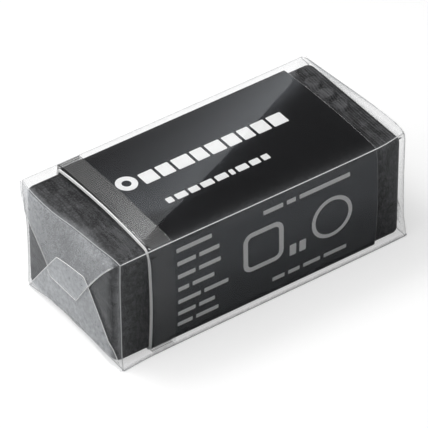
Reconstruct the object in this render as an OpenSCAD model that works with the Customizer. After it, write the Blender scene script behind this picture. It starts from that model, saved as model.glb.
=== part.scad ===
// Black vinyl block eraser in a folded card sleeve, overwrapped in clear film
// with envelope-folded ends and a tear tape round it.
// The block's length runs along X, Z is up, and the origin is the middle of
// the underside of the film.

/* [Eraser block] */
// Length of the vinyl block
eraser_l = 35; // [30:0.5:60]
// Width of the vinyl block
eraser_w = 15.4; // [13:0.1:24]
// Height of the vinyl block
eraser_h = 11.4; // [9.5:0.1:18]
// Rounding of the long edges of the block
long_edge_r = 0.7; // [0.3:0.05:1.2]
// Rounding of the four upright edges of the block
upright_edge_r = 0.9; // [0.3:0.05:1.5]
// Rounding of the edges across each end of the block
end_edge_r = 0.6; // [0.3:0.05:1.2]

/* [Moulded pads] */
// Number of low pads moulded in the bare top, right of the sleeve
pad_count = 3; // [1:1:3]
// Radius of a pad where it meets the top
pad_r = 0.85; // [0.5:0.05:1]
// Height of a pad over the top
pad_h = 0.15; // [0.05:0.01:0.25]
// Distance from one pad to the next
pad_pitch = 2.3; // [2.05:0.05:2.6]

/* [Card sleeve] */
// Bare length of block left of the sleeve
bare_left = 4; // [2:0.1:5]
// Bare length of block right of the sleeve
bare_right = 3.4; // [3:0.1:5]
// Thickness of the card
card_t = 0.3; // [0.2:0.02:0.4]
// Outside radius of the sleeve's folds
fold_r = 0.65; // [0.5:0.05:1]
// How far the top and the two sides of the sleeve bow out in the middle
wall_bow = 0.3; // [0.1:0.05:0.6]
// Width of the glue flap inside the underside
glue_flap_w = 10; // [4:0.5:11]
// Gap between the fold and the free edge of the underside panel
free_edge_gap = 0.4; // [0.2:0.05:0.8]
// Clearance between the block and each side of the sleeve
side_clear = 0.05; // [0.02:0.01:0.2]
// Clearance between the block and the top folds of the sleeve
head_clear = 0.5; // [0.3:0.05:0.8]

/* [Clear film] */
// Thickness of the film
film_t = 0.05; // [0.03:0.01:0.1]
// Clearance between the film and what it lies against
film_clear = 0.05; // [0.03:0.01:0.15]
// How much flatter the film's walls are than the sleeve's, as a share
film_slack = 0.5; // [0.1:0.05:0.8]
// How far the film's end corners stand out past the middle of each end
end_stand = 0.12; // [0.08:0.02:0.5]
// Space between the block's sides and the film at its end corners
end_side_gap = 0.5; // [0.2:0.05:0.6]
// Space between the block's top and the film at its end corners
end_top_gap = 1; // [0.3:0.05:1.1]
// How far past the sleeve the film starts to draw in
draw_in_lead = 0.15; // [0.1:0.05:0.5]

/* [Film folds] */
// Depth of the top flap, down from the end's top crease
top_flap_depth = 8.6; // [6:0.1:9]
// Width of the top flap's free edge
top_flap_edge = 4.9; // [3:0.1:6]
// How far the top flap's free edge lies behind the middle
top_flap_skew = 0.7; // [0:0.1:1.5]
// Where the top flap leaves the back crease, down from the top
top_flap_slip = 2.2; // [0.5:0.1:4]
// Height of the bottom flap, up from the underside
bottom_flap_height = 8; // [5:0.1:9]
// Width of the bottom flap's free edge
bottom_flap_edge = 4.6; // [3:0.1:6]
// How far the bottom flap's free edge lies in front of the middle
bottom_flap_skew = 0.5; // [0:0.1:1]
// Rounding of the corners of both flaps' free edges
flap_corner_r = 0.8; // [0.3:0.05:1.2]
// Width of the lengthwise lap seam on the back
seam_w = 5; // [3:0.1:6]
// Height of the lap seam's lower edge
seam_z = 3.6; // [2:0.1:4]
// Radius of the pinhole left at each top corner, where three creases meet
pinhole_r = 0.25; // [0.25:0.05:0.4]

/* [Tear tape] */
// Width of the tear tape
tape_w = 2.9; // [1.5:0.1:4]
// Thickness of the tear tape
tape_t = 0.05; // [0.03:0.01:0.1]
// How far the tape reaches past the sleeve's left edge
tape_lead = 0.1; // [0:0.05:0.5]
// Thickness of the glue between the tape and the film
tape_glue_t = 0.01; // [0.01:0.01:0.03]
// Gap between the two ends of the tape behind the lap seam
tape_end_gap = 0.4; // [0.2:0.1:1]

/* [Hidden] */

// Facets of the small rounds, and of the very large rounds of bowed faces
small_fn = 64;
large_fn = 2880;
// Steps in a rounded flap corner
corner_steps = 6;
// Overrun of cutting shapes
over = 1;
// How far down from the top crease a pinhole runs
pinhole_depth = 0.4;

vinyl_colour = [0.12, 0.12, 0.13];
card_colour = [0.05, 0.05, 0.06];
film_colour = [0.93, 0.94, 0.95, 0.3];
tape_colour = [0.55, 0.57, 0.55, 0.6];

// Heights, counted up from the underside of the film
sleeve_z = film_t + tape_glue_t + tape_t;
eraser_z = sleeve_z + 2 * card_t;
eraser_top = eraser_z + eraser_h;

// Sleeve, outside its card
sleeve_x = bare_left - eraser_l / 2;
sleeve_l = eraser_l - bare_left - bare_right;
sleeve_w = eraser_w + 2 * (side_clear + card_t);
sleeve_h = eraser_h + head_clear + 3 * card_t;

// Centres of the sleeve's folds, over its own underside
fold_y = sleeve_w / 2 - fold_r;
fold_low = fold_r;
fold_high = sleeve_h - fold_r;

// Film, outside its own thickness. It lies over the bowed sleeve.
film_stack = film_t + tape_glue_t + tape_t + film_clear;
film_y = sleeve_w / 2 + wall_bow + film_stack;
film_top = sleeve_z + sleeve_h + wall_bow + film_stack;
end_middle_x = eraser_l / 2 + film_clear + film_t;
end_x = end_middle_x + end_stand;
end_y = eraser_w / 2 + end_side_gap;
end_top = eraser_top + end_top_gap;
end_dish_r = arc_radius(2 * end_y, end_stand);

// Radius of an arc with this chord and this rise
function arc_radius(chord, rise) = (chord * chord / 4 + rise * rise) / (2 * rise);

// Unit vector from one point to another
function toward(from, to) = (to - from) / norm(to - from);

// Right-hand normal of the line from one point to another
function outward(p, q) = [toward(p, q)[1], -toward(p, q)[0]];

// Radius of the wall bowed over the line between two fold centres. It meets
// the folds smoothly and rises wall_bow past them in the middle.
function wall_radius(p, q) =
    let (half = norm(q - p) / 2, reach = fold_r + wall_bow)
    (half * half + reach * reach - fold_r * fold_r) / (2 * wall_bow);

// Centre of that wall's curve
function wall_centre(p, q) = (p + q) / 2 + outward(p, q) * (fold_r + wall_bow - wall_radius(p, q));

// Points of an arc that rounds the corner b of the path a, b, c
function round_corner(a, b, c, r) =
    let (
        u = toward(b, a),
        v = toward(b, c),
        half = acos(u * v) / 2,
        centre = b + toward([0, 0], u + v) * r / sin(half),
        start = b + u * r / tan(half) - centre,
        sweep = 180 - 2 * half,
        turn = sign(u[0] * v[1] - u[1] * v[0])
    )
    [for (i = [0 : corner_steps])
        let (t = -turn * sweep * i / corner_steps)
        centre + [start[0] * cos(t) - start[1] * sin(t), start[0] * sin(t) + start[1] * cos(t)]];

// Section drawn in Y and Z, pulled out along X from x0
module along_x(x0, length) {
    translate([x0, 0, 0])
        rotate([90, 0, 90])
            linear_extrude(height = length)
                children();
}

// Rectangle with rounded corners, centred across and standing on zero
module rounded_rect(w, h, r) {
    for (x = [r - w / 2, w / 2 - r], y = [r, h - r])
        translate([x, y])
            circle(r = r, $fn = small_fn);
    translate([-w / 2, r])
        square([w, h - 2 * r]);
    translate([r - w / 2, 0])
        square([w - 2 * r, h]);
}

// Vinyl block with its long, upright and end edges each rounded
module rounded_block() {
    intersection() {
        along_x(-eraser_l / 2, eraser_l)
            rounded_rect(eraser_w, eraser_h, long_edge_r);
        translate([0, -eraser_w / 2, 0])
            linear_extrude(height = eraser_h)
                rounded_rect(eraser_l, eraser_w, upright_edge_r);
        translate([0, eraser_w / 2, 0])
            rotate([90, 0, 0])
                linear_extrude(height = eraser_w)
                    rounded_rect(eraser_l, eraser_h, end_edge_r);
    }
}

// One low domed pad on the block's top
module pad() {
    dome_r = arc_radius(2 * pad_r, pad_h);
    intersection() {
        translate([0, 0, pad_h - dome_r])
            sphere(r = dome_r, $fn = 180);
        translate([0, 0, -pad_h])
            cylinder(r = 2 * pad_r, h = 2 * pad_h, $fn = small_fn);
    }
}

module eraser_block() {
    pad_x = (sleeve_x + sleeve_l + eraser_l / 2 - end_edge_r) / 2;
    color(vinyl_colour) {
        translate([0, 0, eraser_z])
            rounded_block();
        for (i = [0 : pad_count - 1])
            translate([pad_x, pad_pitch * i, eraser_top])
                pad();
    }
}

// Sector of the sleeve between two folds, out to its bowed wall
module bowed_wall(p, q, inset) {
    centre = wall_centre(p, q);
    reach = fold_r + wall_bow + over;
    intersection() {
        polygon([p, p + toward(centre, p) * reach, q + toward(centre, q) * reach, q]);
        translate(centre)
            circle(r = wall_radius(p, q) - inset, $fn = large_fn);
    }
}

// Section of the folded sleeve, flat below and bowed on the other three sides
module sleeve_outline(inset) {
    for (y = [-fold_y, fold_y], z = [fold_low, fold_high])
        translate([y, z])
            circle(r = fold_r - inset, $fn = small_fn);
    translate([-fold_y, inset])
        square([2 * fold_y, fold_high - inset]);
    bowed_wall([fold_y, fold_low], [fold_y, fold_high], inset);
    bowed_wall([fold_y, fold_high], [-fold_y, fold_high], inset);
    bowed_wall([-fold_y, fold_high], [-fold_y, fold_low], inset);
}

// One card blank folded round, its glue flap inside the underside panel
module card_sleeve() {
    inner_half = sleeve_w / 2 - card_t;
    color(card_colour)
        translate([0, 0, sleeve_z])
            along_x(sleeve_x, sleeve_l) {
                difference() {
                    sleeve_outline(0);
                    sleeve_outline(card_t);
                    translate([fold_y - free_edge_gap, -over])
                        square([free_edge_gap, over + card_t]);
                }
                intersection() {
                    sleeve_outline(card_t / 2);
                    translate([inner_half - glue_flap_w, card_t])
                        square([glue_flap_w + card_t / 2, card_t]);
                }
            }
}

// Disc of the film's wall over one wall of the sleeve, against its middle and
// flatter than it
module film_round(p, q, inset) {
    middle = (p + q) / 2 + outward(p, q) * (fold_r + wall_bow + film_stack);
    big_r = wall_radius(p, q) / (1 - film_slack);
    translate(middle - outward(p, q) * big_r + [0, sleeve_z])
        circle(r = big_r - inset, $fn = large_fn);
}

// Section of the film, flat below, following the sleeve's bowed walls, with a
// sharp crease where two walls meet
module film_section(inset) {
    intersection() {
        translate([-film_y - over, inset])
            square([2 * (film_y + over), film_top + over - inset]);
        film_round([fold_y, fold_low], [fold_y, fold_high], inset);
        film_round([fold_y, fold_high], [-fold_y, fold_high], inset);
        film_round([-fold_y, fold_high], [-fold_y, fold_low], inset);
    }
}

// Upright round that hollows one end of the film
module end_dish(side, inset) {
    translate([side * (end_middle_x + end_dish_r), 0, -over])
        cylinder(r = end_dish_r + inset, h = film_top + 2 * over, $fn = large_fn);
}

// Wedge that draws one wall in from the sleeve's edge to the end. It runs in
// X along the first axis of the drawing, from depth near to depth far.
module draw_in_wedge(x_near, near, far) {
    slope = (far - near) / (end_x - x_near);
    x0 = x_near - over;
    x1 = end_x + over;
    polygon([
        [x0, near - slope * over],
        [x1, far + slope * over],
        [x1, near + 3 * over],
        [x0, near + 3 * over]
    ]);
}

// Wedges that draw in the two sides and the top at one end
module draw_in(side, inset) {
    x_near = draw_in_lead + (side > 0 ? sleeve_x + sleeve_l : -sleeve_x);
    mirror([side > 0 ? 0 : 1, 0, 0]) {
        for (back = [0, 1])
            mirror([0, back, 0])
                translate([0, 0, -over])
                    linear_extrude(height = film_top + 2 * over)
                        draw_in_wedge(x_near, film_y - inset, end_y - inset);
        translate([0, film_y + over, 0])
            rotate([90, 0, 0])
                linear_extrude(height = 2 * (film_y + over))
                    draw_in_wedge(x_near, film_top - inset, end_top - inset);
    }
}

// Whole form that the film encloses
module film_form(inset) {
    difference() {
        along_x(-end_x - over, 2 * (end_x + over))
            film_section(inset);
        for (side = [-1, 1]) {
            end_dish(side, inset);
            draw_in(side, inset);
        }
    }
}

// Sheet of film laid on one end, over the layers under it
module end_layer(side, layers) {
    depth = end_stand + (layers + 1) * film_t;
    intersection() {
        along_x(side > 0 ? end_middle_x - film_t : film_t - end_middle_x - depth, depth)
            intersection() {
                film_section(0);
                children();
            }
        difference() {
            end_dish(side, film_t / 2);
            end_dish(side, -layers * film_t);
            draw_in(side, 0);
        }
    }
}

// Top flap, folded down over the tucks. It has slipped down the back crease.
module top_flap_outline() {
    tip_z = end_top - top_flap_depth;
    front = [-end_y, end_top];
    near = [top_flap_skew - top_flap_edge / 2, tip_z];
    far = [top_flap_skew + top_flap_edge / 2, tip_z];
    slip = [end_y, end_top - top_flap_slip];
    polygon(concat(
        [[-end_y, end_top + over], front],
        round_corner(front, near, far, flap_corner_r),
        round_corner(near, far, slip, flap_corner_r),
        [slip, [end_y, end_top + over]]
    ));
}

// Bottom flap, folded up last
module bottom_flap_outline() {
    front = [-end_y, 0];
    back = [end_y, 0];
    near = [-bottom_flap_skew - bottom_flap_edge / 2, bottom_flap_height];
    far = [-bottom_flap_skew + bottom_flap_edge / 2, bottom_flap_height];
    polygon(concat(
        [front],
        round_corner(front, near, far, flap_corner_r),
        round_corner(near, far, back, flap_corner_r),
        [back]
    ));
}

// Both flaps of one end, the bottom one doubled where it crosses the top one
module end_folds(side) {
    end_layer(side, 1)
        top_flap_outline();
    end_layer(side, 1)
        bottom_flap_outline();
    end_layer(side, 2)
        intersection() {
            top_flap_outline();
            bottom_flap_outline();
        }
}

// Lap of the film's two long edges, along the back
module lap_seam() {
    low = [fold_y, fold_low];
    high = [fold_y, fold_high];
    difference() {
        along_x(-end_x, 2 * end_x)
            difference() {
                intersection() {
                    translate([film_y - over, seam_z])
                        square([2 * over, seam_w]);
                    film_round(low, high, -film_t);
                }
                film_round(low, high, film_t / 2);
            }
        for (side = [-1, 1]) {
            end_dish(side, 0);
            draw_in(side, 0);
        }
    }
}

// Pinholes at the top corners, the only ways into the folded film
module pinholes() {
    for (x = [-end_x, end_x], y = [-end_y, end_y])
        translate([x, y, end_top - pinhole_depth])
            cylinder(r = pinhole_r, h = pinhole_depth + over, $fn = small_fn);
}

// One sheet of film, folded and sealed round the sleeved block
module film_wrap() {
    color(film_colour)
        difference() {
            union() {
                film_form(0);
                end_folds(-1);
                end_folds(1);
                lap_seam();
            }
            film_form(film_t);
            pinholes();
        }
}

// Tape glued round the inside of the film
module tear_tape() {
    inset = film_t + tape_glue_t;
    color(tape_colour)
        intersection() {
            difference() {
                film_form(inset);
                film_form(inset + tape_t);
            }
            difference() {
                translate([sleeve_x - tape_lead, -film_y, 0])
                    cube([tape_w, 2 * film_y, film_top]);
                translate([sleeve_x - tape_lead - over, 0, seam_z + (seam_w - tape_end_gap) / 2])
                    cube([tape_w + 2 * over, film_y + over, tape_end_gap]);
            }
        }
}

eraser_block();
card_sleeve();
tear_tape();
film_wrap();
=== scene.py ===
# Looks of the wrapped vinyl eraser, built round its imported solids.
# Sizes in the settings are millimetres, and every mesh ends up in metres.
import math

import bmesh
import bpy
from mathutils import Matrix, Vector
from mathutils.bvhtree import BVHTree
from mathutils.kdtree import KDTree


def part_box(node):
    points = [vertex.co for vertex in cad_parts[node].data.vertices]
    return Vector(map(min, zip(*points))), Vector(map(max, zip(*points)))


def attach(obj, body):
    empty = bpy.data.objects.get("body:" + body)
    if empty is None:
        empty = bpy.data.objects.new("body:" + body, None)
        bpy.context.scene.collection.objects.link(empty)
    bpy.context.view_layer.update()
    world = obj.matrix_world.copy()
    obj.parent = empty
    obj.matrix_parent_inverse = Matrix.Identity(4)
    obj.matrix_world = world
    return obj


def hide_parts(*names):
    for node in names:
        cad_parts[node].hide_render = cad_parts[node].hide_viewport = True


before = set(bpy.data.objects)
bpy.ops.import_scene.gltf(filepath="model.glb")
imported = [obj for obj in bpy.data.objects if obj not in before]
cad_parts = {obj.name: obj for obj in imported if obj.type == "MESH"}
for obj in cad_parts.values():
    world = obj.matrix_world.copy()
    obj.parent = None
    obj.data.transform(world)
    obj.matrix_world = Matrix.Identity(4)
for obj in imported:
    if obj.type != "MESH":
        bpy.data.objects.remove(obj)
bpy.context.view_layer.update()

mm = 0.001
tiny = 1e-4  # closer than this, two heights are the same
sleeveEnds = (-13.5, 14.1)  # X of the card sleeve's cut ends


# small helpers
def finishMesh(name, bm, materials, smooth=True, sharpAngle=30):
    # turns a bmesh drawn in millimetres into an object at the origin
    bmesh.ops.scale(bm, vec=(mm, mm, mm), verts=bm.verts)
    for face in bm.faces:
        face.smooth = smooth
    for edge in bm.edges:
        if len(edge.link_faces) == 2 and edge.calc_face_angle(0) > math.radians(sharpAngle):
            edge.smooth = False
    mesh = bpy.data.meshes.new(name)
    bm.to_mesh(mesh)
    bm.free()
    piece = bpy.data.objects.new(name, mesh)
    bpy.context.scene.collection.objects.link(piece)
    for material in materials:
        mesh.materials.append(material)
    return piece


def smoothStep(t):
    t = min(max(t, 0), 1)
    return t * t * (3 - 2 * t)


def roundOff(bm, geom, offset, segments, affect="EDGES"):
    return bmesh.ops.bevel(
        bm, geom=geom, offset=offset, segments=segments, profile=0.5, affect=affect, material=-1)


def insetBorder(bm, faces, width, even=False):
    # insets the outer border of the faces and gives the faces of that border
    made = bmesh.ops.inset_region(
        bm, faces=faces, thickness=width, use_even_offset=even, use_boundary=True)
    return made["faces"]


def cutFaces(bm, faces, point, outward, dist=1e-5, clearOuter=False):
    # cuts the faces by the plane through a point, square to a direction
    geom = set(faces)
    for face in faces:
        geom.update(face.verts, face.edges)
    bmesh.ops.bisect_plane(
        bm, geom=list(geom), dist=dist, plane_co=point, plane_no=outward, clear_outer=clearOuter)


def cutAcross(bm, axis, place, wanted, dist=1e-4):
    # cuts the wanted faces by a plane across one axis
    along = Vector((0, 0, 0))
    along[axis] = 1
    cutFaces(bm, [face for face in bm.faces if wanted(face)], along * place, along, dist)


class Shade:
    # a material's node tree, with short ways to add and join nodes
    def __init__(self, name):
        self.material = bpy.data.materials.new(name)
        self.material.use_nodes = True
        self.tree = self.material.node_tree
        self.tree.nodes.clear()
        self.output = self.tree.nodes.new("ShaderNodeOutputMaterial")
        self.place = self.tree.nodes.new("ShaderNodeTexCoord").outputs["Object"]

    def node(self, kind, inputs=None, **settings):
        made = self.tree.nodes.new("ShaderNode" + kind)
        for key, value in settings.items():
            setattr(made, key, value)
        for key, value in (inputs or {}).items():
            if isinstance(value, bpy.types.NodeSocket):
                self.tree.links.new(value, made.inputs[key])
            else:
                made.inputs[key].default_value = value
        return made

    def math(self, operation, a, b=0.0, clamp=False):
        return self.node("Math", {0: a, 1: b}, operation=operation, use_clamp=clamp).outputs[0]

    def plus(self, a, b, clamp=False):
        return self.math("ADD", a, b, clamp)

    def times(self, a, b, clamp=False):
        return self.math("MULTIPLY", a, b, clamp)

    def noiseMap(self, scale, detail=4.0, roughness=0.55, stretch=(1, 1, 1)):
        mapped = self.node("Mapping", {"Vector": self.place, "Scale": stretch}).outputs[0]
        inputs = {"Vector": mapped, "Scale": scale, "Detail": detail, "Roughness": roughness}
        return self.node("TexNoise", inputs).outputs[0]

    def ramp(self, value, low, high, start=0.0, end=1.0):
        inputs = {"Value": value, "From Min": low, "From Max": high, "To Min": start, "To Max": end}
        return self.node("MapRange", inputs).outputs[0]

    def mixColour(self, share, a, b):
        # a and b are sockets, or colours as red, green and blue
        a, b = (c if isinstance(c, bpy.types.NodeSocket) else (*c, 1) for c in (a, b))
        return self.node("Mix", {0: share, 6: a, 7: b}, data_type="RGBA").outputs[2]

    def surface(self, socket):
        self.tree.links.new(socket, self.output.inputs["Surface"])
        return self.material


# camera
cameraSettings = {
    "azimuth": -35.078,
    "elevation": 39.612,
    "roll": -0.292,
    "distance": 436.3,
    "aside": -0.094,
    "raise": -0.503,
    "aimHeight": 6.5,
    "lens": 366.43,
    "sensor": 36,
    "clip": (10, 20000),
}


def cameraAxes(settings):
    azimuth = math.radians(settings["azimuth"])
    elevation = math.radians(settings["elevation"])
    roll = math.radians(settings["roll"])
    back = Vector((
        math.sin(azimuth) * math.cos(elevation),
        -math.cos(azimuth) * math.cos(elevation),
        math.sin(elevation),
    ))
    right = Vector((0, 0, 1)).cross(back).normalized()
    up = back.cross(right)
    turnedRight = right * math.cos(roll) + up * math.sin(roll)
    turnedUp = up * math.cos(roll) - right * math.sin(roll)
    return turnedRight, turnedUp, back


def makeCamera(settings):
    right, up, back = cameraAxes(settings)
    place = Vector((0, 0, settings["aimHeight"])) + back * settings["distance"]
    place += right * settings["aside"] + up * settings["raise"]
    turn = Matrix((right, up, back)).transposed().to_4x4()
    data = bpy.data.cameras.new("camera")
    data.lens = settings["lens"]
    data.sensor_width = settings["sensor"]
    data.clip_start, data.clip_end = (distance * mm for distance in settings["clip"])
    camera = bpy.data.objects.new("camera", data)
    camera.matrix_world = Matrix.Translation(place * mm) @ turn
    bpy.context.scene.collection.objects.link(camera)
    bpy.context.scene.camera = camera


makeCamera(cameraSettings)
print("camera placed")


# light, floor and world
lightSettings = {
    "keyCard": {"at": (-123, 182, 357), "aim": (0, 0, 5), "size": (140, 140), "radiance": 12.5},
    "topCard": {"at": (-60, -40, 430), "aim": (0, 0, 0), "size": (420, 420), "radiance": 1.4},
    "sideCard": {"at": (-380, 60, 330), "aim": (0, 0, 5), "size": (400, 400), "radiance": 2.3},
}
# the card whose straight edge is mirrored slantwise in the film's top, brightest at that edge
mirrorSettings = {
    "over": (2, 1, 13.3),
    "far": 100,
    "edgeAt": (-1.45, -1.45),
    "edgeAlong": (0.281, 0.96),
    "width": 38,
    "length": 76,
    "radiance": 1.45,
    "fading": 11,
}
floorSettings = {"size": 6000, "colour": 0.48, "glow": 0.58}
worldSettings = {"strength": 0.05}


def makeCardLight(name, settings):
    # a softbox, its power worked out from how bright its face looks
    data = bpy.data.lights.new(name, "AREA")
    data.shape = "RECTANGLE"
    data.size = settings["size"][0] * mm
    data.size_y = settings["size"][1] * mm
    data.energy = settings["radiance"] * math.pi * data.size * data.size_y
    light = bpy.data.objects.new(name, data)
    away = (Vector(settings["at"]) - Vector(settings["aim"])).normalized()
    turn = away.to_track_quat("Z", "Y").to_matrix().to_4x4()
    light.matrix_world = Matrix.Translation(Vector(settings["at"]) * mm) @ turn
    bpy.context.scene.collection.objects.link(light)


def placeMirrorCard(settings):
    # its axes are those of the plane that the top of the film mirrors to the camera
    # the camera doesn't see the card itself, so it hides nothing
    back = cameraAxes(cameraSettings)[2]
    ray = Vector((-back.x, -back.y, back.z))
    across = Vector((0, 0, 1)).cross(ray).normalized()
    rise = ray.cross(across)
    start = Vector(settings["over"]) + ray * settings["far"]
    start += across * settings["edgeAt"][0] + rise * settings["edgeAt"][1]
    alongX, alongY = settings["edgeAlong"]
    edge = across * alongX + rise * alongY
    inward = across * alongY - rise * alongX
    bm = bmesh.new()
    bmesh.ops.create_grid(bm, x_segments=1, y_segments=1, size=0.5)
    for v in bm.verts:
        v.co = start + inward * (v.co.x + 0.5) * settings["width"] + edge * v.co.y * settings["length"]
    shade = Shade("fadingCard")
    fromEdge = shade.node(
        "VectorMath", {0: shade.place, 1: inward}, operation="DOT_PRODUCT").outputs["Value"]
    fromEdge = shade.math("SUBTRACT", fromEdge, inward.dot(start) * mm)
    fade = shade.math("EXPONENT", shade.math("DIVIDE", fromEdge, -settings["fading"] * mm))
    strength = shade.times(fade, settings["radiance"])
    shade.surface(shade.node("Emission", {"Color": (1, 1, 1, 1), "Strength": strength}).outputs[0])
    card = finishMesh("mirrorCard", bm, [shade.material], smooth=False)
    card.visible_camera = False


def makeFloor(settings):
    shade = Shade("paleFloor")
    path = shade.node("LightPath")
    seen = shade.math("MAXIMUM", path.outputs["Is Camera Ray"], path.outputs["Is Transmission Ray"])
    paint = shade.node("BsdfDiffuse", {"Color": (settings["colour"],) * 3 + (1,)})
    strength = shade.times(seen, settings["glow"])
    glow = shade.node("Emission", {"Color": (1, 1, 1, 1), "Strength": strength})
    shade.surface(shade.node("AddShader", {0: paint.outputs[0], 1: glow.outputs[0]}).outputs[0])
    bm = bmesh.new()
    bmesh.ops.create_grid(bm, x_segments=1, y_segments=1, size=settings["size"] / 2)
    floor = finishMesh("floor", bm, [shade.material], smooth=False)


def makeWorld(settings):
    world = bpy.data.worlds.new("studio")
    bpy.context.scene.world = world
    world.use_nodes = True
    tree = world.node_tree
    tree.nodes.clear()
    output = tree.nodes.new("ShaderNodeOutputWorld")
    path = tree.nodes.new("ShaderNodeLightPath")
    seen = tree.nodes.new("ShaderNodeMath")
    seen.operation = "MAXIMUM"
    tree.links.new(path.outputs["Is Camera Ray"], seen.inputs[0])
    tree.links.new(path.outputs["Is Transmission Ray"], seen.inputs[1])
    strength = tree.nodes.new("ShaderNodeMapRange")
    tree.links.new(seen.outputs[0], strength.inputs["Value"])
    strength.inputs["To Min"].default_value = settings["strength"]
    strength.inputs["To Max"].default_value = 1
    background = tree.nodes.new("ShaderNodeBackground")
    background.inputs["Color"].default_value = (1, 1, 1, 1)
    tree.links.new(strength.outputs[0], background.inputs["Strength"])
    tree.links.new(background.outputs[0], output.inputs["Surface"])


for lightName, lightValues in lightSettings.items():
    makeCardLight(lightName, lightValues)
placeMirrorCard(mirrorSettings)
makeFloor(floorSettings)
makeWorld(worldSettings)
scene = bpy.context.scene
scene.view_settings.view_transform = "Standard"
scene.cycles.transparent_max_bounces = 32  # a look through the folded film crosses many sheets
print("lights, floor and world made")


# vinyl block
vinylSettings = {
    "deep": (0.006, 0.006, 0.0065),
    "worn": (0.1, 0.1, 0.105),
    "roughness": (0.47, 0.65),
    "gloss": 0.2,
    # noise values between which the vinyl goes from deep to worn, and its grain from nothing to a speck
    "mottle": (0.44, 0.72),
    "specks": (0.52, 0.68),
    "speckWear": 0.5,
    # the raised pads are painted lighter by this much: a painted highlight on their tops
    "padHighlight": 0.42,
    # the ribs begin over these X and reach full strength over these Z, and below they are faint
    "ribPitch": 0.3,
    "ribX": (14.0, 14.3),
    "ribZ": (11.8, 12.2),
    "faintRibs": 0.15,
    "ribWear": 0.2,
    # how high the grain, the strokes and the ribs stand
    "relief": {"grain": 0.8, "strokes": 0.5, "ribs": 0.3},
}
blockSettings = {
    "end": 17.5, "halfWidth": 7.7, "low": 0.71, "top": 12.11,
    "uprightRadius": 0.9, "uprightSteps": 6, "rimRadius": 0.65, "rimSteps": 5,
    "pads": ((15.5, 0.0), (15.5, 2.3), (15.5, 4.6)),
    "padRadius": 1.05, "padHeight": 0.28, "padEdge": 0.35,
    # outside the sleeve the soft block swells to the sleeve's own width and height
    "swellY": 1.02, "swellZ": 1.074,
    # how far inside each sleeve edge the block is cut, and how far outside it the swelling starts
    "swellCuts": (0.06, -0.04), "swellFrom": 0.02,
    # the part of the top cut finely enough to carry the pads
    "cutX": (14.3, 16.7), "cutY": (-1.1, 5.7), "cutStep": 0.1,
}


def vinylMaterial(settings):
    # black filled vinyl, mottled and finely grained, with a ribbed finish on its right end; its raised pads
    # are painted lighter, a painted highlight
    shade = Shade("charcoalVinyl")
    grain = shade.noiseMap(5200, detail=3)
    cloud = shade.noiseMap(900, detail=6, roughness=0.7)
    strokes = shade.noiseMap(1500, detail=4, stretch=(1.6, 0.25, 1))
    apart = shade.node("SeparateXYZ", {"Vector": shade.place})
    pitch = 2 * math.pi / (settings["ribPitch"] * mm)
    ribs = shade.math("SINE", shade.times(apart.outputs[0], pitch))
    startX, fullX = settings["ribX"]
    ribs = shade.times(ribs, shade.ramp(apart.outputs[0], startX * mm, fullX * mm))
    startZ, fullZ = settings["ribZ"]
    onTop = shade.ramp(apart.outputs[2], startZ * mm, fullZ * mm, settings["faintRibs"], 1.0)
    ribs = shade.times(ribs, onTop)
    raised = shade.node("Attribute", attribute_name="raised").outputs["Fac"]
    mottle = shade.plus(shade.times(cloud, 0.5), shade.times(strokes, 0.5))
    mottle = shade.ramp(mottle, *settings["mottle"])
    mottle = shade.plus(mottle, shade.times(ribs, settings["ribWear"]))
    # painted highlight: the raised pads are painted lighter
    mottle = shade.plus(mottle, shade.times(raised, settings["padHighlight"]))
    specks = shade.times(shade.ramp(grain, *settings["specks"]), settings["speckWear"])
    mottle = shade.plus(mottle, specks, clamp=True)
    colour = shade.mixColour(mottle, settings["deep"], settings["worn"])
    relief = settings["relief"]
    height = shade.times(grain, relief["grain"])
    height = shade.plus(height, shade.times(strokes, relief["strokes"]))
    height = shade.plus(height, shade.times(ribs, relief["ribs"]))
    bump = shade.node("Bump", {"Height": height, "Distance": 0.00008, "Strength": 0.9})
    skin = shade.node("BsdfPrincipled", {
        "Base Color": colour,
        "Roughness": shade.ramp(cloud, 0.3, 0.7, *settings["roughness"]),
        "Specular IOR Level": settings["gloss"],
        "Normal": bump.outputs[0],
    })
    return shade.surface(skin.outputs[0])


def cutTop(bm, axis, start, end, step, top):
    # cuts the flat top into fine strips across one axis
    place = start
    while place < end + step / 2:
        cutAcross(bm, axis, place, lambda face: all(abs(v.co.z - top) < tiny for v in face.verts), dist=1e-5)
        place += step


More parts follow.
